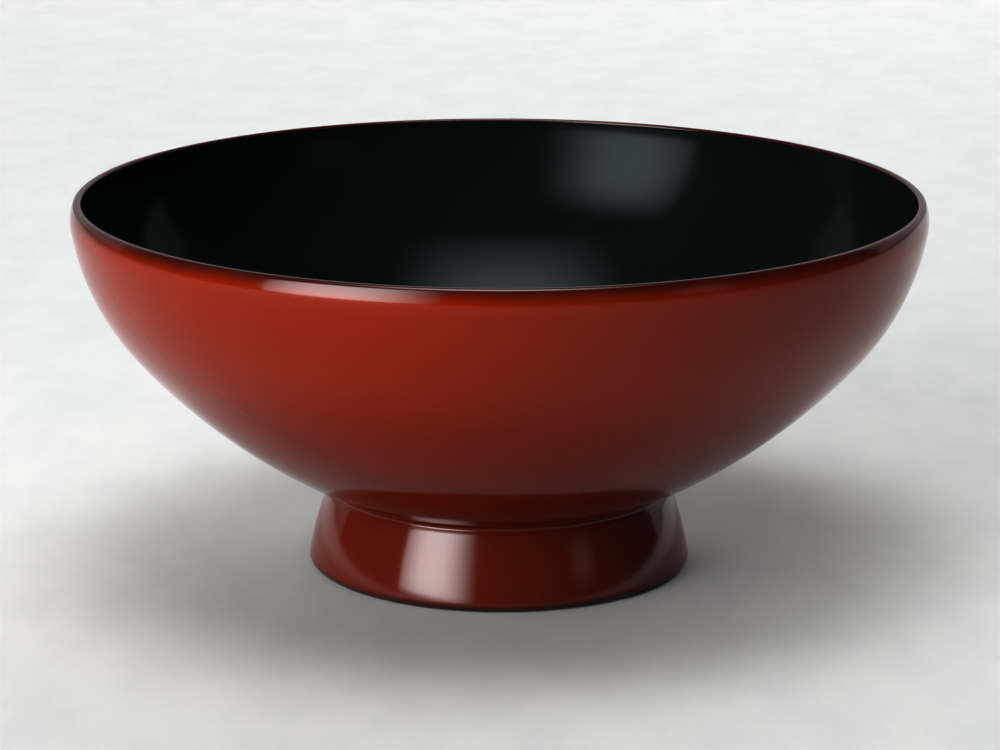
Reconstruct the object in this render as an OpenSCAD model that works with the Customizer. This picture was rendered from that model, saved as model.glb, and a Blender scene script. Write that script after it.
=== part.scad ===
// A turned wooden bowl finished in lacquer: red outside, black inside, on a tall foot ring.
// The cup and the foot ring are turned separately. A round spigot under the cup is glued into
// the ring. Cloth binds the lip, the floor of the bowl and the standing edge, a clay ground
// levels the cloth with the wood, and coloured lacquer covers everything.
// The frame: +Z up, the origin in the middle of the circle that the foot stands on.
// Every piece is a half section turned round Z. A section's lines are concentric arcs, and a
// line's depth is how far it lies below the finished surface.

/* [Bowl] */
// Diameter across the widest level of the wall
bowl_d = 180; // [176:1:190]
// Height from the table to the crest of the lip
bowl_h = 79.5; // [79:0.5:80]

/* [Cup outline] */
// Height of the widest level, above which the wall turns in towards the lip
widest_z = 75.6; // [75.4:0.1:76]
// Radius of the arc that turns the rim in
rim_arc_r = 10; // [9:0.5:12]
// How far below level the side arc hands over to the rim arc, in degrees
rim_blend_angle = 9.2; // [8.8:0.2:9.6]
// Radius of the arc that makes the steep side
side_arc_r = 51; // [50:0.5:52]
// Radius of the flatter arc that makes the belly
belly_arc_r = 130.5; // [129:0.5:132]
// How far below level the belly arc hands over to the side arc, in degrees
blend_angle = 41.2; // [40.8:0.2:41.6]

/* [Wall] */
// Thickness of the finished wall along the steep side
wall = 2.8; // [2.7:0.1:3.2]
// Height of the finished floor inside the bowl, at its centre
floor_z = 14.5; // [14:0.5:17]
// Radius of the round on the outer side of the lip
lip_outer_r = 1; // [0.9:0.05:1.1]
// Radius of the round on the inner side of the lip
lip_inner_r = 0.5; // [0.4:0.1:0.5]

/* [Foot] */
// Height of the seam between the cup and the foot ring
seam_z = 16.8; // [16.4:0.2:17.6]
// Radius that the foot's side would reach at the seam, were its shoulder not rounded
foot_neck_r = 36.4; // [36:0.1:37]
// Radius of that shoulder, which turns in to the seam and leaves a crease under the cup
foot_shoulder_r = 4; // [3:0.5:5]
// How far the shoulder has turned in where it meets the seam, in degrees above level
foot_shoulder_turn = 48; // [40:1:50]
// Radius that the foot's flared side would reach at the table
foot_base_r = 41; // [40.5:0.1:42]
// Radius of the gentle outward curve of the foot's side
foot_side_arc_r = 70; // [60:5:150]
// Radius of the round at the outer edge of the standing ring
foot_outer_edge_r = 1.5; // [1:0.1:2]
// Radius of the hollow under the foot
hollow_r = 35.5; // [34.5:0.5:36]
// Height of the ceiling of that hollow
hollow_z = 8.4; // [7.5:0.1:9]
// Radius of the cove between the hollow's wall and its ceiling
hollow_cove_r = 2; // [1.5:0.5:3]
// Radius of the round at the inner edge of the standing ring
foot_inner_edge_r = 0.8; // [0.7:0.1:1.2]

/* [Joint] */
// Radius of the spigot under the cup, which fills the bore of the foot ring
spigot_r = 32; // [28:0.5:32]

/* [Layers] */
// Thickness of the coloured lacquer
lacquer = 0.3; // [0.3:0.05:0.35]
// Thickness of the clay ground, and of the cloth that lies flush with it
ground = 0.3; // [0.3:0.05:0.35]
// How far the binding cloth reaches down from the lip
lip_cloth_h = 9; // [7:0.5:14]
// Radius of the cloth disc under the floor of the bowl
floor_cloth_r = 30; // [20:1:34]
// Height of the binding cloth round the standing ring
foot_cloth_h = 5; // [4:0.5:5.5]

/* [Hidden] */

// Segments along each arc of a section, and round each piece
arc_steps = 16;
turn_steps = 180;

// Depths of the wood and of the ground below the finished surface
ground_depth = lacquer;
wood_depth = lacquer + ground;

// Angles of straight down and straight up
down = -90;
up = 90;

// Outer face of the cup: rim arc, side arc and belly arc, which meet without a kink
rim_c = [bowl_d / 2 - rim_arc_r, widest_z];
side_c = rim_c - (side_arc_r - rim_arc_r) * direction(-rim_blend_angle);
belly_c = side_c - (belly_arc_r - side_arc_r) * direction(-blend_angle);

// Inner face: concentric with the side arc, then an arc centred on the axis
inner_side_r = side_arc_r - wall;
floor_drop = side_c.y - floor_z;
floor_arc_r = (side_c.x^2 + floor_drop^2 - inner_side_r^2) / (2 * (floor_drop - inner_side_r));
floor_c = [0, floor_z + floor_arc_r];
inner_blend_angle = atan2(floor_c.y - side_c.y, side_c.x - floor_c.x);

// Lip: the outer round touches the rim arc, the inner round touches the inner side arc
lip_outer_angle = asin((bowl_h - lip_outer_r - widest_z) / (rim_arc_r - lip_outer_r));
lip_outer_c = rim_c + (rim_arc_r - lip_outer_r) * direction(lip_outer_angle);
lip_inner_angle = -asin((side_c.y + lip_inner_r - bowl_h) / (inner_side_r + lip_inner_r));
lip_inner_c = side_c + (inner_side_r + lip_inner_r) * direction(lip_inner_angle);
lip_cloth_z = bowl_h - lip_cloth_h;

// Foot: side arc through the neck and the base, a shoulder that touches it and ends at the
// seam, and a round that touches it and the table
foot_c = arc_centre([foot_neck_r, seam_z], [foot_base_r, 0], foot_side_arc_r);
foot_shoulder_z = seam_z - foot_shoulder_r * sin(foot_shoulder_turn);
foot_shoulder_x = sqrt((foot_side_arc_r - foot_shoulder_r)^2 - (foot_c.y - foot_shoulder_z)^2);
foot_shoulder_c = [foot_c.x + foot_shoulder_x, foot_shoulder_z];
foot_shoulder_angle = atan2(foot_shoulder_c.y - foot_c.y, foot_shoulder_c.x - foot_c.x);
foot_edge_x = sqrt((foot_side_arc_r - foot_outer_edge_r)^2 - (foot_c.y - foot_outer_edge_r)^2);
foot_edge_c = [foot_c.x + foot_edge_x, foot_outer_edge_r];
foot_edge_angle = atan2(foot_edge_c.y - foot_c.y, foot_edge_c.x - foot_c.x);
hollow_edge_c = [hollow_r + foot_inner_edge_r, foot_inner_edge_r];
hollow_cove_c = [hollow_r - hollow_cove_r, hollow_z - hollow_cove_r];

function direction(angle) = [cos(angle), sin(angle)];

// Centre of the arc of radius r through a and b that bulges away from the axis
function arc_centre(a, b, r) =
    let (half = (b - a) / 2, outward = [-half.y, half.x] / norm(half))
    a + half - outward * sqrt(r^2 - half * half);

// Angle at which a circle's right side crosses a level, and its lower side a radius
function angle_at_level(centre, r, level) = asin((level - centre.y) / r);
function angle_at_radius(centre, r, radius) = -acos((radius - centre.x) / r);

// A run is one arc of a section: [centre, radius, first angle, last angle]. All pieces that
// share a line share its runs, so that they meet face to face.
function run_point(run, part) = run[0] + run[1] * direction(run[2] + (run[3] - run[2]) * part);

function meets(a, b) = norm(run_point(a, 1) - run_point(b, 0)) < 0.001;

// The points of some of the runs, in order, each shared end once
function line(runs, first, last) =
    [for (k = [first : last])
        let (skip = k > first && meets(runs[k - 1], runs[k]) ? 1 : 0)
            for (i = [skip : arc_steps]) run_point(runs[k], i / arc_steps)];

function reversed(points) = [for (i = [len(points) - 1 : -1 : 0]) points[i]];

// Outer face of the cup at a depth, from the seam up to the crest of the lip
BELLY = 0;
SIDE = 1;
TAPE = 2;
RIM = 3;
LIP = 4;
function outer_runs(depth) =
    let (
        belly_r = belly_arc_r - depth,
        side_r = side_arc_r - depth,
        seam = angle_at_level(belly_c, belly_r, seam_z),
        tape = angle_at_level(side_c, side_r, lip_cloth_z))
    [
        [belly_c, belly_r, seam, -blend_angle],
        [side_c, side_r, -blend_angle, tape],
        [side_c, side_r, tape, -rim_blend_angle],
        [rim_c, rim_arc_r - depth, -rim_blend_angle, lip_outer_angle],
        [lip_outer_c, lip_outer_r - depth, lip_outer_angle, up]
    ];

// Inner face of the cup at a depth, from the axis up to the crest. Where the depth is more
// than the inner round, the last run is a corner and is left out.
DISC = 0;
FLOOR = 1;
INNER_SIDE = 2;
INNER_TAPE = 3;
INNER_LIP = 4;
function inner_runs(depth) =
    let (
        floor_r = floor_arc_r + depth,
        side_r = inner_side_r + depth,
        disc = angle_at_radius(floor_c, floor_r, floor_cloth_r),
        tape = angle_at_level(side_c, side_r, lip_cloth_z),
        corner = angle_at_level(side_c, side_r, bowl_h - depth))
    [
        [floor_c, floor_r, down, disc],
        [floor_c, floor_r, disc, -inner_blend_angle],
        [side_c, side_r, -inner_blend_angle, tape],
        [side_c, side_r, tape, depth < lip_inner_r ? lip_inner_angle : corner],
        [lip_inner_c, lip_inner_r - depth, 180 + lip_inner_angle, up]
    ];
function last_inner_run(depth) = depth < lip_inner_r ? INNER_LIP : INNER_TAPE;

// Face of the foot at a depth: down its side, under the standing ring, up into the hollow
SHOULDER = 0;
FOOT_SIDE = 1;
FOOT_TAPE = 2;
FOOT_EDGE = 3;
RING_EDGE = 4;
function foot_runs(depth) =
    let (
        shoulder_r = foot_shoulder_r - depth,
        side_r = foot_side_arc_r - depth,
        seam = angle_at_level(foot_shoulder_c, shoulder_r, seam_z),
        tape = angle_at_level(foot_c, side_r, foot_cloth_h))
    [
        [foot_shoulder_c, shoulder_r, seam, foot_shoulder_angle],
        [foot_c, side_r, foot_shoulder_angle, tape],
        [foot_c, side_r, tape, foot_edge_angle],
        [foot_edge_c, foot_outer_edge_r - depth, foot_edge_angle, down],
        [hollow_edge_c, foot_inner_edge_r - depth, down, down - 90]
    ];

// Points where the hollow's straight wall crosses a level, and its ceiling a radius
function wall_point(depth, level) = [[hollow_r + depth, level]];
function ceiling_point(depth, radius) = [[radius, hollow_z + depth]];

// The cove between that wall and that ceiling, upwards
function cove(depth) = line([[hollow_cove_c, hollow_cove_r + depth, 0, up]], 0, 0);

// A solid turned from the strip between two lines of a section that run the same way
module turned(surface, underside) {
    rotate_extrude($fn = turn_steps)
        polygon(concat(surface, reversed(underside)));
}

// ---- Wood ----

// The turned cup, with the spigot that goes into the foot ring
module cup_core() {
    spigot_end_z = hollow_z + wood_depth;
    spigot = [[0, spigot_end_z], [spigot_r, spigot_end_z], [spigot_r, seam_z]];
    outside = line(outer_runs(wood_depth), BELLY, LIP);
    inside = line(inner_runs(wood_depth), DISC, last_inner_run(wood_depth));
    color("burlywood")
        turned(concat(spigot, outside), inside);
}

// The turned foot ring: its bore holds the spigot, and its top carries the cup at the seam
module foot_ring_core() {
    bore = concat([[spigot_r, seam_z]], ceiling_point(wood_depth, spigot_r));
    hollow = reversed(concat(wall_point(wood_depth, foot_cloth_h), cove(wood_depth)));
    outside = line(foot_runs(wood_depth), SHOULDER, FOOT_EDGE);
    ring_edge = line(foot_runs(wood_depth), RING_EDGE, RING_EDGE);
    color("tan")
        turned(outside, concat(bore, hollow, reversed(ring_edge)));
}

// ---- Cloth ----

// The tape that binds the lip, folded over it
module lip_cloth() {
    color("wheat")
        turned(lip_tape_line(ground_depth), lip_tape_line(wood_depth));
}

function lip_tape_line(depth) =
    concat(
        line(outer_runs(depth), TAPE, LIP),
        reversed(line(inner_runs(depth), INNER_TAPE, last_inner_run(depth))));

// The disc glued over the floor of the bowl
module floor_cloth() {
    color("wheat")
        turned(
            line(inner_runs(wood_depth), DISC, DISC),
            line(inner_runs(ground_depth), DISC, DISC));
}

// The tape that binds the standing ring, folded under it
module foot_cloth() {
    color("wheat")
        turned(foot_tape_line(ground_depth), foot_tape_line(wood_depth));
}

function foot_tape_line(depth) =
    concat(line(foot_runs(depth), FOOT_TAPE, RING_EDGE), wall_point(depth, foot_cloth_h));

// ---- Clay ground ----

// Between the seam and the lip's tape
module cup_ground_outside() {
    color("dimgray")
        turned(
            line(outer_runs(ground_depth), BELLY, SIDE),
            line(outer_runs(wood_depth), BELLY, SIDE));
}

// Between the floor's disc and the lip's tape
module cup_ground_inside() {
    color("dimgray")
        turned(
            line(inner_runs(wood_depth), FLOOR, INNER_SIDE),
            line(inner_runs(ground_depth), FLOOR, INNER_SIDE));
}

// Round the side of the foot, above its tape
module foot_ground_outside() {
    color("dimgray")
        turned(
            line(foot_runs(ground_depth), SHOULDER, FOOT_SIDE),
            line(foot_runs(wood_depth), SHOULDER, FOOT_SIDE));
}

// Up the wall of the hollow and across its ceiling, over the end of the spigot
module foot_ground_underside() {
    color("dimgray")
        turned(
            hollow_line(ground_depth, foot_cloth_h),
            hollow_line(wood_depth, foot_cloth_h));
}

function hollow_line(depth, level) =
    concat(wall_point(depth, level), cove(depth), ceiling_point(depth, 0));

// ---- Lacquer ----

// Red, from the seam up the outside and over the lip
module cup_red_lacquer() {
    color("firebrick")
        turned(cup_red_line(0), cup_red_line(ground_depth));
}

function cup_red_line(depth) =
    concat(
        line(outer_runs(depth), BELLY, LIP),
        reversed(line(inner_runs(depth), INNER_LIP, INNER_LIP)));

// Black, all over the inside, up to the round of the lip
module cup_black_lacquer() {
    color([0.04, 0.05, 0.04])
        turned(
            line(inner_runs(ground_depth), DISC, INNER_TAPE),
            line(inner_runs(0), DISC, INNER_TAPE));
}

// Red, down the side of the foot, under the standing ring and round its inner edge
module foot_red_lacquer() {
    color("firebrick")
        turned(
            line(foot_runs(0), SHOULDER, RING_EDGE),
            line(foot_runs(ground_depth), SHOULDER, RING_EDGE));
}

// Black, in the hollow under the foot
module foot_black_lacquer() {
    color([0.04, 0.05, 0.04])
        turned(
            hollow_line(0, hollow_edge_c.y),
            hollow_line(ground_depth, hollow_edge_c.y));
}

cup_core();
foot_ring_core();
lip_cloth();
floor_cloth();
foot_cloth();
cup_ground_outside();
cup_ground_inside();
foot_ground_outside();
foot_ground_underside();
cup_red_lacquer();
cup_black_lacquer();
foot_red_lacquer();
foot_black_lacquer();
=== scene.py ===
"""A turned wooden bowl in red and black lacquer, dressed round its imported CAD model.

The wood, the cloth and the clay ground keep their CAD shapes and get their materials here. The
four lacquer films are new pieces, turned finely enough for clean reflections, with the small
rounds that a brushed film has along its ends. Lengths are metres and angles are degrees. A
section is a half outline, in rows of radius and height, that is turned round the upright axis.
"""

import logging
import math
from collections.abc import Sequence
from dataclasses import dataclass, replace
from enum import Enum

import bpy
import numpy as np
from mathutils import Matrix, Vector


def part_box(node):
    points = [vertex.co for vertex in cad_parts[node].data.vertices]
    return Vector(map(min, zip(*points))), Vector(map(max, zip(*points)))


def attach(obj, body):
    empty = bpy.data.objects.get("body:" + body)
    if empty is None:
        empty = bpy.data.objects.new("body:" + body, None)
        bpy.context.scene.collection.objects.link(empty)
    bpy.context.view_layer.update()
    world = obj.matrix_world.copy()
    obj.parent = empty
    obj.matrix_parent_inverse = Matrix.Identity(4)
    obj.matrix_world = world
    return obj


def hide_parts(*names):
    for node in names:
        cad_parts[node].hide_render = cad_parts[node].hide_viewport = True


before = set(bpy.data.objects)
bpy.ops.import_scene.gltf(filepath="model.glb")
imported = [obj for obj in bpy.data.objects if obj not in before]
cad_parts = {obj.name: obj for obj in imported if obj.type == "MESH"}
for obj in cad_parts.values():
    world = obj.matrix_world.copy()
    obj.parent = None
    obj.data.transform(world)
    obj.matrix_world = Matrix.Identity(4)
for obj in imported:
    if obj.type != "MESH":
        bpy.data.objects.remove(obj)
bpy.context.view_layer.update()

log = logging.getLogger("lacquered_bowl")

MM = 0.001
DOWN, UP = -90.0, 90.0
CORNER_ANGLE = 32.0
SAME_POINT = 1e-7
WOBBLE_RADIUS = 60 * MM
WOBBLE_INSET = 0.056
VIEW_GAMMA = 0.7

Colour = tuple[float, float, float]


class Slot(Enum):
    """The names of the record's red and black lacquer material slots."""

    RED = "red_lacquer"
    BLACK = "black_lacquer"


# ---- Shader building ----


class Wire:
    """An output socket that takes part in Python arithmetic: each operation adds a Math node."""

    def __init__(self, graph: "Graph", socket: bpy.types.NodeSocket) -> None:
        """Wraps a socket of a graph."""
        self.graph = graph
        self.socket = socket

    def __add__(self, other: "Wire | float") -> "Wire":
        """Self plus other."""
        return self.graph.math("ADD", self, other)

    def __sub__(self, other: "Wire | float") -> "Wire":
        """Self minus other."""
        return self.graph.math("SUBTRACT", self, other)

    def __rsub__(self, other: float) -> "Wire":
        """Other minus self."""
        return self.graph.math("SUBTRACT", other, self)

    def __mul__(self, other: "Wire | float") -> "Wire":
        """Self times other."""
        return self.graph.math("MULTIPLY", self, other)

    def __truediv__(self, other: "Wire | float") -> "Wire":
        """Self divided by other."""
        return self.graph.math("DIVIDE", self, other)

    __radd__ = __add__
    __rmul__ = __mul__


class Graph:
    """The node tree of one material."""

    def __init__(self, name: str) -> None:
        """Makes an empty material of that name."""
        self.material = bpy.data.materials.new(name)
        self.material.use_nodes = True
        self.tree = self.material.node_tree
        self.tree.nodes.clear()

    def node(
        self,
        kind: str,
        settings: dict[str, object] | None = None,
        inputs: dict[str | int, object] | None = None,
        output: str | int = 0,
    ) -> Wire:
        """Adds a node.

        Args:
            kind: The node's type.
            settings: The node's properties.
            inputs: Values or wires for its sockets, by name or number.
            output: The socket that the returned wire stands for.

        Returns:
            A wire from that output.
        """
        made = self.tree.nodes.new(kind)
        for key, value in (settings or {}).items():
            setattr(made, key, value)
        for key, value in (inputs or {}).items():
            socket = made.inputs[key]
            if isinstance(value, Wire):
                self.tree.links.new(value.socket, socket)
            elif socket.type == "RGBA":
                socket.default_value = (*value, 1.0)
            else:
                socket.default_value = value
        return Wire(self, made.outputs[output])

    def math(self, operation: str, first: object, second: object = 0.0) -> Wire:
        """A Math node's result for two wires or numbers."""
        return self.node("ShaderNodeMath", {"operation": operation}, {0: first, 1: second})

    def mix(self, factor: Wire, first: object, second: object) -> Wire:
        """A colour between two colours, wires or constants."""
        made = self.tree.nodes.new("ShaderNodeMix")
        made.data_type = "RGBA"
        ends = (("Factor_Float", factor), ("A_Color", first), ("B_Color", second))
        for identifier, value in ends:
            socket = next(s for s in made.inputs if s.identifier == identifier)
            if isinstance(value, Wire):
                self.tree.links.new(value.socket, socket)
            else:
                socket.default_value = (*value, 1.0)
        result = next(s for s in made.outputs if s.identifier == "Result_Color")
        return Wire(self, result)

    def place(self) -> Wire:
        """The point on the object, in metres."""
        return self.node("ShaderNodeTexCoord", output="Object")

    def split(self, vector: Wire) -> tuple[Wire, Wire, Wire]:
        """The three parts of a vector."""
        made = self.node("ShaderNodeSeparateXYZ", inputs={0: vector}).socket.node
        return tuple(Wire(self, socket) for socket in made.outputs)

    def join(self, x: object, y: object, z: object) -> Wire:
        """A vector of three parts."""
        return self.node("ShaderNodeCombineXYZ", inputs={0: x, 1: y, 2: z})

    def noise(self, vector: Wire, scale: float, detail: float = 2.0, rough: float = 0.5) -> Wire:
        """Noise from 0 to 1, with that many features to a metre."""
        values = {"Vector": vector, "Scale": scale, "Detail": detail, "Roughness": rough}
        return self.node("ShaderNodeTexNoise", inputs=values)

    def step(self, value: Wire, start: float, end: float) -> Wire:
        """Rises smoothly from 0 at start to 1 at end, or falls if end is the lower."""
        low, high = (start, end) if start < end else (end, start)
        to = (0.0, 1.0) if start < end else (1.0, 0.0)
        values = {"From Min": low, "From Max": high, "To Min": to[0], "To Max": to[1]}
        settings = {"interpolation_type": "SMOOTHSTEP"}
        return self.node("ShaderNodeMapRange", settings, {"Value": value, **values})

    def bump(self, height: Wire, depth: float, under: Wire | None = None) -> Wire:
        """A normal tilted by a height from 0 to 1 that stands for a depth in metres."""
        values = {"Height": height, "Distance": depth, "Strength": 1.0}
        if under is not None:
            values["Normal"] = under
        return self.node("ShaderNodeBump", inputs=values)

    def finish(self, **sockets: object) -> bpy.types.Material:
        """Ends the graph in a Principled shader.

        Args:
            sockets: The shader's inputs, with _ for each space in a name.

        Returns:
            The material.
        """
        named = {key.replace("_", " "): value for key, value in sockets.items()}
        shader = self.node("ShaderNodeBsdfPrincipled", inputs=named)
        self.node_out("Surface", shader)
        return self.material

    def node_out(self, name: str, wire: Wire) -> None:
        """Links a wire to the material's output."""
        made = self.tree.nodes.new("ShaderNodeOutputMaterial")
        self.tree.links.new(wire.socket, made.inputs[name])


# ---- Finishes ----


@dataclass(frozen=True)
class Fade:
    """Between which heights a film's colour darkens, and how far: where the film thins out and
    the undercoat shows, and where painted shade is laid on.
    """

    darkest_z: float
    full_z: float
    share: float = 1.0


@dataclass(frozen=True)
class Lacquer:
    """A brushed, polished film of coloured lacquer.

    Scales are features to a metre and depths are metres. A nib's reach is a share of its cell.
    """

    name: str
    body: Colour
    cloud: Colour
    # The dark colour that the fades mix in: thin film at the lip and the foot's edge, painted
    # shade down the belly.
    thin_and_shade: Colour
    roughness: float
    specular: float
    sheen: Colour = (1.0, 1.0, 1.0)
    cloud_scale: float = 14.0
    brush_scale: float = 420.0
    brush_stretch: float = 0.05
    pigment_scale: float = 2600.0
    edge_scale: float = 90.0
    edge_wander: float = 0.3
    nib_scale: float = 260.0
    nib_share: float = 0.06
    nib_reach: float = 0.09
    peel_scale: float = 330.0
    peel_depth: float = 0.0000020
    brush_depth: float = 0.0000012
    nib_depth: float = 0.000006

    def material(self, fades: Sequence[Fade] = ()) -> bpy.types.Material:
        """Builds the film's shader.

        The colour clouds slowly over the body, carries fine pigment and faint brush marks that
        run round the bowl, and darkens where the film thins and where a fade lays on painted
        shade. The same brush marks and clouds change the roughness. The relief is an orange
        peel, the brush marks and a few dust nibs.

        Args:
            fades: Where the film thins out, and where painted shade darkens its colour.

        Returns:
            The material.
        """
        g = Graph(self.name)
        place = g.place()
        x, y, z = g.split(place)
        radius = g.math("SQRT", x * x + y * y)
        around = g.join(x * self.brush_stretch + radius, y * self.brush_stretch, z)
        cloud = g.noise(place, self.cloud_scale, 3.0)
        brush = g.noise(around, self.brush_scale, 2.0)
        pigment = g.noise(place, self.pigment_scale, 1.0)
        tint = g.step(cloud * 0.7 + brush * 0.12 + pigment * 0.18, 0.36, 0.64)
        colour = g.mix(tint, self.body, self.cloud)
        edge = g.noise(place, self.edge_scale, 3.0)
        # Each fade darkens the colour by height towards the film's dark colour: real thinning at
        # the lip and the foot's standing edge, painted shade down the cup's belly.
        for fade in fades:
            wander = abs(fade.full_z - fade.darkest_z) * self.edge_wander
            level = z + (edge - 0.5) * wander
            darkened_share = g.step(level, fade.full_z, fade.darkest_z) * fade.share
            colour = g.mix(darkened_share, colour, self.thin_and_shade)
        roughness = (cloud - 0.5) * 0.05 + (brush - 0.5) * 0.04 + self.roughness
        peel = g.bump(g.noise(place, self.peel_scale, 1.0), self.peel_depth)
        marks = g.bump(brush, self.brush_depth, peel)
        return g.finish(
            Base_Color=colour,
            Roughness=roughness,
            IOR=1.5,
            Specular_IOR_Level=self.specular,
            Specular_Tint=self.sheen,
            Normal=g.bump(self._nibs(g, place), self.nib_depth, marks),
        )

    def _nibs(self, g: Graph, place: Wire) -> Wire:
        """Sparse round specks of dust under the film, in about nib_share of the cells."""
        kind = {"voronoi_dimensions": "3D", "feature": "F1"}
        values = {"Vector": place, "Scale": self.nib_scale, "Randomness": 1.0}
        cells = g.node("ShaderNodeTexVoronoi", kind, values)
        owner = g.node("ShaderNodeTexVoronoi", kind, values, output="Color")
        last = 1.0 - self.nib_share
        chosen = g.step(g.split(owner)[0], last - 0.01, last + 0.01)
        return g.step(cells, self.nib_reach, 0.02) * chosen


@dataclass(frozen=True)
class TurnedWood:
    """Bare turned wood: growth rings cut by the lathe, with fine pores along the grain."""

    name: str = "turned_wood"
    early: Colour = (0.58, 0.39, 0.21)
    late: Colour = (0.40, 0.24, 0.115)
    ring_width: float = 0.0032
    ring_wander: float = 0.012
    wander_scale: float = 22.0
    pith_offset: float = 0.16
    pore_scale: float = 1600.0
    pore_length_scale: float = 90.0
    relief: float = 0.00003

    def material(self) -> bpy.types.Material:
        """Builds the wood's shader, with the tree's centre far to one side of the bowl."""
        g = Graph(self.name)
        place = g.place()
        x, y, z = g.split(place)
        wander = (g.noise(place, self.wander_scale, 3.0) - 0.5) * self.ring_wander
        side = x + self.pith_offset
        distance = g.math("SQRT", side * side + z * z) + wander
        saw = g.math("FRACT", distance / self.ring_width)
        late = g.step(saw, 0.35, 0.95)
        fine, slow = self.pore_scale, self.pore_length_scale
        pores = g.noise(g.join(x * fine, y * slow, z * fine), 1.0, 2.0)
        dark = late * 0.75 + g.step(pores, 0.60, 0.72) * 0.35
        return g.finish(
            Base_Color=g.mix(dark, self.early, self.late),
            Roughness=0.62 - late * 0.12,
            Normal=g.bump(pores + late * 0.5, self.relief),
        )


@dataclass(frozen=True)
class BindingCloth:
    """Plain-woven hemp, soaked in lacquer."""

    name: str = "binding_cloth"
    thread: Colour = (0.60, 0.52, 0.38)
    gap: Colour = (0.20, 0.13, 0.07)
    thread_pitch: float = 0.0008
    slant: float = 0.6
    climb: float = 1.4
    slub_scale: float = 1400.0
    relief: float = 0.00008

    def material(self) -> bpy.types.Material:
        """Builds the weave: sine threads both ways, each over and under the other in turn."""
        g = Graph(self.name)
        place = g.place()
        x, y, z = g.split(place)
        turn = math.pi / self.thread_pitch
        across = g.math("SINE", (x + y * self.slant) * turn)
        along = g.math("SINE", (y - x * self.slant + z * self.climb) * turn)
        over = g.step(across * along, -0.9, 0.9)
        slub = g.noise(place, self.slub_scale, 2.0)
        height = over * 0.8 + slub * 0.2
        return g.finish(
            Base_Color=g.mix(height, self.gap, self.thread),
            Roughness=0.85 - slub * 0.15,
            Normal=g.bump(height, self.relief),
        )


@dataclass(frozen=True)
class ClayGround:
    """Matt ground of lacquer and clay, rubbed flat with a stone."""

    name: str = "clay_ground"
    body: Colour = (0.105, 0.085, 0.07)
    grit: Colour = (0.19, 0.165, 0.14)
    grit_scale: float = 2400.0
    rub_scale: float = 900.0
    rub_stretch: float = 0.04
    relief: float = 0.00002

    def material(self) -> bpy.types.Material:
        """Builds the ground: fine grit, and rubbing marks that run round the bowl."""
        g = Graph(self.name)
        place = g.place()
        x, y, z = g.split(place)
        radius = g.math("SQRT", x * x + y * y)
        around = g.join(radius + x * self.rub_stretch, y * self.rub_stretch, z)
        rubbed = g.noise(around, self.rub_scale, 3.0)
        grit = g.noise(place, self.grit_scale, 2.0)
        share = g.step(grit * 0.6 + rubbed * 0.4, 0.4, 0.62)
        return g.finish(
            Base_Color=g.mix(share, self.body, self.grit),
            Roughness=0.72 + rubbed * 0.15,
            Normal=g.bump(grit + rubbed, self.relief),
        )


@dataclass(frozen=True)
class Paper:
    """The pale paper that the bowl stands on."""

    name: str = "pale_paper"
    body: Colour = (0.425, 0.427, 0.418)
    mottle: Colour = (0.402, 0.405, 0.40)
    fibre_scale: float = 60.0
    fibre_stretch: float = 0.55
    relief: float = 0.0001

    def material(self) -> bpy.types.Material:
        """Builds the paper, with cloudy fibres."""
        g = Graph(self.name)
        place = g.place()
        x, y, z = g.split(place)
        fibres = g.noise(g.join(x, y * self.fibre_stretch, z), self.fibre_scale, 6.0, 0.62)
        return g.finish(
            Base_Color=g.mix(g.step(fibres, 0.35, 0.68), self.body, self.mottle),
            Roughness=0.9,
            Specular_IOR_Level=0.15,
            Normal=g.bump(fibres, self.relief),
        )


RED_FILM = Lacquer(
    name="red_lacquer",
    body=(0.205, 0.0150, 0.0008),
    cloud=(0.178, 0.0142, 0.0008),
    thin_and_shade=(0.030, 0.0050, 0.0030),
    roughness=0.10,
    specular=0.36,
)
# A darker copy of the red film for the foot: its darker colour is painted shade for the foot
# under the cup's overhang.
FOOT_FILM_PAINTED_SHADE = replace(
    RED_FILM,
    name="red_lacquer_foot_painted_shade",
    body=(0.110, 0.0125, 0.0035),
    cloud=(0.095, 0.0115, 0.0033),
    thin_and_shade=(0.016, 0.0045, 0.0030),
    specular=0.46,
)
BLACK_FILM = Lacquer(
    name="black_lacquer",
    body=(0.0042, 0.0072, 0.0066),
    cloud=(0.0052, 0.0084, 0.0078),
    thin_and_shade=(0.0042, 0.0072, 0.0066),
    roughness=0.12,
    specular=0.095,
    sheen=(0.82, 0.97, 1.0),
)


# ---- Sections and turning ----


def ray(angle: float) -> np.ndarray:
    """The unit vector in a section at an angle above level."""
    return np.array([math.cos(math.radians(angle)), math.sin(math.radians(angle))])


@dataclass(frozen=True)
class Arc:
    """A stretch of a section: round a centre, from one angle to another."""

    centre: np.ndarray
    radius: float
    first: float
    last: float

    def points(self, count: int, depth: float = 0.0) -> np.ndarray:
        """Even steps along the arc: centre plus (radius - depth) times (cos a, sin a)."""
        turn = np.radians(np.linspace(self.first, self.last, count))
        around = np.stack([np.cos(turn), np.sin(turn)], axis=1)
        return self.centre + (self.radius - depth) * around


def outline(*stretches: np.ndarray) -> np.ndarray:
    """Joins stretches into one outline and drops points that repeat the one before them."""
    joined = np.concatenate([np.atleast_2d(s) for s in stretches])
    gap = np.linalg.norm(np.diff(joined, axis=0), axis=1)
    return joined[np.concatenate([[True], gap > SAME_POINT])]


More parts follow.
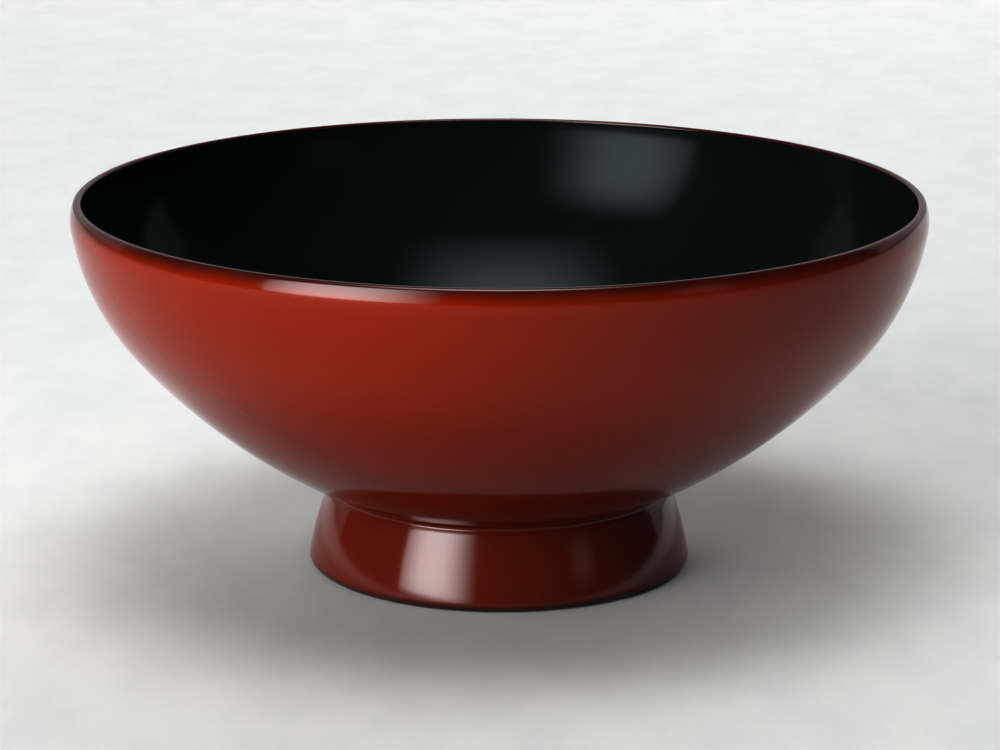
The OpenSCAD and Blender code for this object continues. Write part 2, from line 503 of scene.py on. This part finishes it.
def hand_wobble(turn: np.ndarray, height: np.ndarray) -> np.ndarray:
    """How far a hand-finished surface strays from a true circle.

    The radius shrinks by WOBBLE_INSET, in millimetres, and changes by a smaller sum of slow
    waves, so it never grows. Each wave is a sine of a whole number of turns round the bowl plus
    a share of the height. Every film uses the same sum, so neighbours stay together.

    Args:
        turn: Angles round the axis, in radians.
        height: Heights, in metres.

    Returns:
        The change of radius, in metres.
    """
    waves = ((2, 9.0, 0.4, 0.016), (3, -26.0, 1.9, 0.007), (5, 48.0, 4.4, 0.005))
    total = sum(
        size * np.sin(count * turn + climb * height + start)
        for count, climb, start, size in waves
    )
    return (total - WOBBLE_INSET) * MM


def turned(name: str, section: np.ndarray, turns: int) -> bpy.types.Object:
    """Turns a section round the axis into a closed mesh.

    The point (r, z) of the section goes to (r cos a, r sin a, z) for each angle a. The hand's
    wobble is added to r, in full from WOBBLE_RADIUS outwards and in proportion to r nearer the
    axis. The section runs anticlockwise, so its faces point outwards. If it starts and ends on
    the axis, each end is one vertex with a fan of triangles round it; otherwise the last row
    joins the first.

    Args:
        name: The new object's name.
        section: Rows of radius and height.
        turns: The number of steps round the axis.

    Returns:
        The object, smooth except along real corners.
    """
    turn = np.arange(turns) * (2 * math.pi / turns)
    capped = section[0, 0] < SAME_POINT and section[-1, 0] < SAME_POINT
    rows = section[1:-1] if capped else section
    radius, height = rows[:, :1], np.repeat(rows[:, 1:], turns, axis=1)
    wobble = hand_wobble(turn[None, :], height) * np.clip(radius / WOBBLE_RADIUS, 0, 1)
    reach = radius + wobble
    points = np.stack([reach * np.cos(turn), reach * np.sin(turn), height], axis=2)
    points = points.reshape(-1, 3)

    count = len(rows)
    row = np.arange(count - 1 if capped else count)[:, None]
    step = np.arange(turns)[None, :]
    after, beyond = (step + 1) % turns, (row + 1) % count
    corners = [row * turns + step, row * turns + after, beyond * turns + after]
    quads = np.stack([*corners, beyond * turns + step], axis=2).reshape(-1, 4)
    faces = quads.tolist()
    if capped:
        low, high = len(points), len(points) + 1
        ends = np.array([[0, 0, section[0, 1]], [0, 0, section[-1, 1]]])
        points = np.concatenate([points, ends])
        top = (count - 1) * turns
        here, there = step[0], after[0]
        faces += np.stack([np.full(turns, low), there, here], axis=1).tolist()
        faces += np.stack([np.full(turns, high), top + here, top + there], axis=1).tolist()

    mesh = bpy.data.meshes.new(name)
    mesh.from_pydata(points.tolist(), [], faces)
    mesh.polygons.foreach_set("use_smooth", np.ones(len(faces), dtype=bool))
    mesh.set_sharp_from_angle(angle=math.radians(CORNER_ANGLE))
    mesh.validate()
    made = bpy.data.objects.new(name, mesh)
    bpy.context.scene.collection.objects.link(made)
    return made


def settle(
    piece: bpy.types.Object, material: bpy.types.Material, node: str
) -> None:
    """Gives a new piece its material and its body, and hides the CAD node it stands for."""
    piece.data.materials.append(material)
    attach(piece, "root")
    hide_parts(node)
    log.info("%s: %d faces, stands for %s", piece.name, len(piece.data.polygons), node)


def dress(node: str, material: bpy.types.Material) -> None:
    """Gives a CAD node's object a material."""
    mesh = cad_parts[node].data
    mesh.materials.clear()
    mesh.materials.append(material)
    log.info("%s: dressed in %s", node, material.name)


# ---- The cup ----


@dataclass
class Cup:
    """The turned cup: its two films, and the finishes of the layers under them.

    The film thins along the lip, and its colour darkens slowly down the belly towards the foot
    with painted shade.
    """

    rim_radius: float = 10 * MM
    rim_angle: float = -9.2
    side_radius: float = 51 * MM
    belly_radius: float = 130.5 * MM
    belly_angle: float = -41.2
    widest_z: float = 75.6 * MM
    wall: float = 2.8 * MM
    film: float = 0.3 * MM
    lip_outer_radius: float = 1.0 * MM
    lip_inner_radius: float = 0.5 * MM
    # Painted shade: the red colour darkens towards its dark colour from 62 mm down to 6 mm high,
    # standing in for the shade under the belly.
    belly_painted_shade: Fade = Fade(6 * MM, 62 * MM, 0.55)
    turns: int = 400

    def __post_init__(self) -> None:
        """Works out the arcs' centres from the CAD nodes' boxes."""
        red_low, red_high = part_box("cup_red_lacquer")
        black_low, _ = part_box("cup_black_lacquer")
        self.seam_z, self.crest_z = red_low.z, red_high.z
        self.floor_z = black_low.z + self.film
        rim = np.array([red_high.x - self.rim_radius, self.widest_z])
        side = rim - (self.side_radius - self.rim_radius) * ray(self.rim_angle)
        belly = side - (self.belly_radius - self.side_radius) * ray(self.belly_angle)
        inner = self.side_radius - self.wall
        drop = side[1] - self.floor_z
        floor_radius = (side[0] ** 2 + drop**2 - inner**2) / (2 * (drop - inner))
        floor = np.array([0.0, self.floor_z + floor_radius])
        blend = -math.degrees(math.atan2(floor[1] - side[1], side[0]))

        rise = self.crest_z - self.lip_outer_radius - self.widest_z
        lip_turn = math.degrees(math.asin(rise / (self.rim_radius - self.lip_outer_radius)))
        lip = rim + (self.rim_radius - self.lip_outer_radius) * ray(lip_turn)
        reach = inner + self.lip_inner_radius
        fall = side[1] + self.lip_inner_radius - self.crest_z
        inner_turn = -math.degrees(math.asin(fall / reach))
        inner_lip = side + reach * ray(inner_turn)

        seam_angle = math.degrees(math.asin((self.seam_z - belly[1]) / self.belly_radius))
        self.belly = Arc(belly, self.belly_radius, seam_angle, self.belly_angle)
        self.side = Arc(side, self.side_radius, self.belly_angle, self.rim_angle)
        self.rim = Arc(rim, self.rim_radius, self.rim_angle, lip_turn)
        self.lip = Arc(lip, self.lip_outer_radius, lip_turn, UP)
        self.inner_lip = Arc(inner_lip, self.lip_inner_radius, UP, 180 + inner_turn)
        self.inner_side = Arc(side, inner, inner_turn, blend)
        self.floor = Arc(floor, floor_radius, blend, DOWN)

    def outside(self, depth: float, fine: int) -> np.ndarray:
        """The outer face at a depth, from the seam up over the crest to the inner round."""
        runs = ((self.belly, 5), (self.side, 4), (self.rim, 2), (self.lip, 1))
        stretches = [arc.points(max(share * fine, 6), depth) for arc, share in runs]
        return outline(*stretches, self.inner_lip.points(max(fine, 6), depth))

    def inside(self, depth: float, fine: int) -> np.ndarray:
        """The inner face at a depth below it, from the inner round down to the axis."""
        side = self.inner_side.points(4 * fine, -depth)
        return outline(side, self.floor.points(6 * fine, -depth))

    def build(self) -> None:
        """Makes the two films and dresses the hidden layers."""
        outer = outline(self.outside(0.0, 14), self.outside(self.film, 4)[::-1])
        lip_fade = Fade(self.crest_z + 0.2 * MM, self.widest_z + 0.4 * MM)
        settle(
            turned("cup_red_film", outer, self.turns),
            RED_FILM.material([lip_fade, self.belly_painted_shade]),
            "cup_red_lacquer",
        )
        face = self.inside(0.0, 14)
        back = self.inside(self.film, 6)[::-1]
        settle(
            turned("cup_black_film", outline(back, face), self.turns),
            BLACK_FILM.material(),
            "cup_black_lacquer",
        )
        dress("cup_core", TurnedWood().material())
        for node in ("lip_cloth", "floor_cloth"):
            dress(node, BindingCloth().material())
        for node in ("cup_ground_outside", "cup_ground_inside"):
            dress(node, ClayGround().material())


# ---- The foot ----


@dataclass
class Foot:
    """The turned foot ring: its two films, and the finishes of the layers under them."""

    cup: Cup
    neck_radius: float = 36.4 * MM
    base_radius: float = 41.0 * MM
    side_radius: float = 70 * MM
    shoulder_radius: float = 4 * MM
    shoulder_turn: float = 48.0
    outer_edge_radius: float = 1.5 * MM
    inner_edge_radius: float = 0.8 * MM
    cove_radius: float = 2 * MM
    crease_radius: float = 0.7 * MM
    film: float = 0.3 * MM
    edge_fade: Fade = Fade(0.3 * MM, 2.6 * MM)
    turns: int = 360

    def __post_init__(self) -> None:
        """Works out the arcs' centres from the CAD nodes' boxes."""
        red_low, red_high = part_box("foot_red_lacquer")
        black_low, black_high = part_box("foot_black_lacquer")
        self.seam_z = red_high.z
        self.hollow_z = black_high.z - self.film
        self.hollow_radius = black_high.x - self.film
        self.edge_z = black_low.z

        neck, base = np.array([self.neck_radius, self.seam_z]), np.array([self.base_radius, 0])
        half = (base - neck) / 2
        outward = np.array([-half[1], half[0]]) / np.linalg.norm(half)
        side = neck + half - outward * math.sqrt(self.side_radius**2 - half @ half)
        shoulder = self._touching(
            side,
            self.shoulder_radius,
            self.seam_z - self.shoulder_radius * ray(self.shoulder_turn)[1],
        )
        edge = self._touching(side, self.outer_edge_radius, self.outer_edge_radius)
        inner_edge = np.array([self.hollow_radius + self.inner_edge_radius, self.edge_z])
        cove = np.array([self.hollow_radius, self.hollow_z]) - self.cove_radius

        upper, lower = self._angle(side, shoulder), self._angle(side, edge)
        self.shoulder = Arc(shoulder, self.shoulder_radius, self.shoulder_turn, upper)
        self.side = Arc(side, self.side_radius, upper, lower)
        self.edge = Arc(edge, self.outer_edge_radius, lower, DOWN)
        self.inner_edge = Arc(inner_edge, self.inner_edge_radius, DOWN, DOWN - 90)
        self.cove = Arc(cove, self.cove_radius, 0.0, UP)

    def _touching(self, side: np.ndarray, radius: float, height: float) -> np.ndarray:
        """The centre, at a height, of a round that touches the side arc from within."""
        reach = self.side_radius - radius
        return np.array([side[0] + math.sqrt(reach**2 - (height - side[1]) ** 2), height])

    @staticmethod
    def _angle(start: np.ndarray, end: np.ndarray) -> float:
        """The angle above level of the line from one point to another."""
        return math.degrees(math.atan2(end[1] - start[1], end[0] - start[0]))

    def crease(self) -> Arc:
        """The hollow round of lacquer that gathers between the cup's belly and the shoulder.

        Its circle touches both faces: its centre is outside the belly arc and outside the
        shoulder arc by its own radius, so it is where two larger circles cross.

        Returns:
            The arc from the belly to the shoulder.
        """
        belly, shoulder = self.cup.belly, self.shoulder
        first = belly.radius + self.crease_radius
        second = shoulder.radius + self.crease_radius
        apart = shoulder.centre - belly.centre
        distance = float(np.linalg.norm(apart))
        along = (first**2 - second**2 + distance**2) / (2 * distance)
        aside = math.sqrt(first**2 - along**2)
        unit = apart / distance
        centre = belly.centre + along * unit + aside * np.array([-unit[1], unit[0]])
        start = self._angle(centre, belly.centre)
        end = self._angle(centre, shoulder.centre)
        return Arc(centre, self.crease_radius, start % 360, end % 360)

    def outside(self, fine: int) -> np.ndarray:
        """The red film's face, from the belly down the foot and round its standing edge."""
        crease = self.crease()
        meets = self._angle(self.shoulder.centre, crease.centre)
        shoulder = Arc(self.shoulder.centre, self.shoulder.radius, meets, self.shoulder.last)
        return outline(
            crease.points(fine),
            shoulder.points(fine),
            self.side.points(4 * fine),
            self.edge.points(fine),
            self.inner_edge.points(fine),
        )

    def underneath(self, depth: float, fine: int) -> np.ndarray:
        """The black film's face at a depth above it, from the standing edge to the axis."""
        wall = np.array([[self.hollow_radius + depth, self.edge_z]])
        ceiling = np.array([[0.0, self.hollow_z + depth]])
        inward = np.linspace(self.cove.centre[0], 0.0, 2 * fine)[1:-1]
        flat = np.stack([inward, np.full_like(inward, self.hollow_z + depth)], axis=1)
        return outline(wall, self.cove.points(fine, -depth), flat, ceiling)

    def build(self) -> None:
        """Makes the two films and dresses the hidden layers."""
        face = self.outside(14)
        runs = (self.shoulder, self.side, self.edge, self.inner_edge)
        back = outline(*[arc.points(8, self.film) for arc in runs])
        settle(
            turned("foot_red_film", outline(face, back[::-1])[::-1], self.turns),
            FOOT_FILM_PAINTED_SHADE.material([self.edge_fade]),
            "foot_red_lacquer",
        )
        settle(
            turned("foot_black_film", self._closed_cap(), self.turns),
            BLACK_FILM.material(),
            "foot_black_lacquer",
        )
        dress("foot_ring_core", TurnedWood().material())
        dress("foot_cloth", BindingCloth().material())
        for node in ("foot_ground_outside", "foot_ground_underside"):
            dress(node, ClayGround().material())

    def _closed_cap(self) -> np.ndarray:
        """The black film's whole section, from the axis under it to the axis above it."""
        return outline(self.underneath(0.0, 14)[::-1], self.underneath(self.film, 6))


# ---- The studio ----


@dataclass(frozen=True)
class GlowSheet:
    """A diffusing sheet with a lamp behind it: brightest at one spot, fading away from it.

    The camera never sees a sheet. A sheet that isn't mirrored isn't seen in the lacquer either.

    The sheet's own across and up are measured from its middle. The glow falls smoothly from
    its full level, near_reach from the spot, to its rest share at far_reach, each way.
    """

    name: str
    middle: tuple[float, float, float]
    faces: tuple[float, float, float]
    width: float
    height: float
    level: float
    spot: tuple[float, float] = (0.0, 0.0)
    near_reach: tuple[float, float] = (0.1, 0.1)
    far_reach: tuple[float, float] = (0.5, 0.5)
    rest: tuple[float, float] = (0.0, 0.0)
    tint: Colour = (0.98, 0.99, 1.0)
    mirrored: bool = True

    def build(self) -> None:
        """Hangs the sheet, facing its point."""
        middle = Vector(self.middle)
        turn = (Vector(self.faces) - middle).to_track_quat("Z", "Y").to_matrix()
        across, up = turn @ Vector((1, 0, 0)), turn @ Vector((0, 1, 0))
        sides = ((-1, -1), (1, -1), (1, 1), (-1, 1))
        half = (self.width / 2, self.height / 2)
        corners = [middle + across * (i * half[0]) + up * (j * half[1]) for i, j in sides]
        mesh = bpy.data.meshes.new(self.name)
        mesh.from_pydata([tuple(corner) for corner in corners], [], [(0, 1, 2, 3)])
        mesh.materials.append(self._glow(across, up))
        made = bpy.data.objects.new(self.name, mesh)
        made.visible_camera = False
        made.visible_glossy = self.mirrored
        bpy.context.scene.collection.objects.link(made)

    def _glow(self, across: Vector, up: Vector) -> bpy.types.Material:
        """Builds the sheet's light, which leaves its front only."""
        g = Graph(self.name)
        place = g.place()
        level = self.level
        for k, direction in enumerate((across, up)):
            start = direction.dot(Vector(self.middle)) + self.spot[k]
            settings = {"operation": "DOT_PRODUCT"}
            along = g.node("ShaderNodeVectorMath", settings, {0: place, 1: direction}, "Value")
            away = g.math("ABSOLUTE", along - start)
            fall = g.step(away, self.far_reach[k], self.near_reach[k])
            level = (fall * (1 - self.rest[k]) + self.rest[k]) * level
        front = 1.0 - g.node("ShaderNodeNewGeometry", output="Backfacing")
        light = {"Color": self.tint, "Strength": level * front}
        g.node_out("Surface", g.node("ShaderNodeEmission", inputs=light))
        return g.material


OVERHEAD = GlowSheet(
    name="overhead_sheet",
    middle=(-0.05, -0.12, 1.60),
    faces=(-0.05, -0.12, 0.0),
    width=1.60,
    height=1.60,
    level=12.6,
    near_reach=(0.06, 0.06),
    far_reach=(0.76, 0.76),
)
LEFT_FRONT = GlowSheet(
    name="left_front_sheet",
    middle=(-0.60, -0.80, 0.68),
    faces=(0.0, 0.0, 0.68),
    width=0.88,
    height=1.30,
    level=14.0,
    spot=(0.07, -0.34),
    near_reach=(0.05, 0.18),
    far_reach=(0.55, 0.85),
)
LEFT = GlowSheet(
    name="left_sheet",
    middle=(-1.0, -0.10, 0.50),
    faces=(0.0, 0.0, 0.05),
    width=0.9,
    height=0.6,
    level=3.0,
    far_reach=(0.6, 0.6),
    mirrored=False,
)
RIGHT_FRONT = GlowSheet(
    name="right_front_sheet",
    middle=(0.95, -0.74, 0.26),
    faces=(0.0, 0.0, 0.26),
    width=0.50,
    height=0.50,
    level=0.6,
    near_reach=(0.04, 0.04),
    far_reach=(0.26, 0.26),
)
BACK = GlowSheet(
    name="back_sheet",
    middle=(0.35, 1.50, 0.90),
    faces=(0.10, 0.60, 0.0),
    width=2.8,
    height=1.0,
    level=5.6,
    near_reach=(1.0, 0.4),
    far_reach=(2.4, 1.2),
    mirrored=False,
)
BACKDROP = GlowSheet(
    name="backdrop_sheet",
    middle=(0.0, 2.2, 1.0),
    faces=(0.0, 0.0, 1.0),
    width=9.0,
    height=2.0,
    level=0.60,
    near_reach=(4.5, 0.6),
    far_reach=(6.0, 1.4),
)


@dataclass
class Studio:
    """The floor, the lights and the camera."""

    camera_distance: float = 759.9 * MM
    camera_height: float = 234.3 * MM
    camera_pitch: float = 14.328
    camera_roll: float = 0.1
    lens: float = 132.51
    sensor: float = 36.0
    sideways_shift: float = 0.0007
    floor_radius: float = 9.0
    floor_rings: int = 40
    floor_spokes: int = 96
    surround_colour: Colour = (0.95, 0.97, 1.0)
    surround_level: float = 0.08

    def build(self) -> None:
        """Makes the floor, the lights and the camera."""
        self._floor()
        self._world()
        for sheet in (OVERHEAD, LEFT_FRONT, LEFT, RIGHT_FRONT, BACK, BACKDROP):
            sheet.build()
        self._camera()

    def _camera(self) -> None:
        """Makes the camera, in front of the bowl and looking down at it."""
        data = bpy.data.cameras.new("camera")
        data.lens, data.sensor_width = self.lens, self.sensor
        data.shift_x = self.sideways_shift
        data.clip_start, data.clip_end = 0.01, 50.0
        made = bpy.data.objects.new("camera", data)
        place = Matrix.Translation((0, -self.camera_distance, self.camera_height))
        pitch = Matrix.Rotation(math.radians(90 - self.camera_pitch), 4, "X")
        roll = Matrix.Rotation(math.radians(self.camera_roll), 4, "Z")
        made.matrix_world = place @ pitch @ roll
        bpy.context.scene.collection.objects.link(made)
        bpy.context.scene.camera = made

    def _floor(self) -> None:
        """Makes the floor: a round sheet, far wider than any view."""
        spokes = self.floor_spokes
        radius = np.geomspace(20 * MM, self.floor_radius, self.floor_rings)[:, None]
        turn = np.arange(spokes) * (2 * math.pi / spokes)
        flat = np.zeros((self.floor_rings, spokes))
        points = np.stack([radius * np.cos(turn), radius * np.sin(turn), flat], axis=2)
        row = np.arange(self.floor_rings - 1)[:, None] * spokes
        step = np.arange(spokes)[None, :]
        after = (step + 1) % spokes
        beyond = row + spokes
        quads = np.stack([row + step, beyond + step, beyond + after, row + after], axis=2)
        faces = [*quads.reshape(-1, 4).tolist(), list(range(spokes))]
        mesh = bpy.data.meshes.new("paper_floor")
        mesh.from_pydata(points.reshape(-1, 3).tolist(), [], faces)
        mesh.materials.append(Paper().material())
        floor = bpy.data.objects.new("paper_floor", mesh)
        bpy.context.scene.collection.objects.link(floor)

    def _world(self) -> None:
        """Makes a dim, even surround, which fills the shadows a little."""
        world = bpy.data.worlds.new("surround")
        world.use_nodes = True
        background = world.node_tree.nodes["Background"]
        background.inputs["Color"].default_value = (*self.surround_colour, 1.0)
        background.inputs["Strength"].default_value = self.surround_level
        bpy.context.scene.world = world


def main() -> None:
    """Builds the bowl and its studio."""
    logging.basicConfig(level=logging.INFO, format="%(name)s: %(message)s")
    Studio().build()
    cup = Cup()
    cup.build()
    Foot(cup).build()
    view = bpy.context.scene.view_settings
    view.view_transform, view.gamma = "Standard", VIEW_GAMMA


if __name__ == "__main__":
    main()
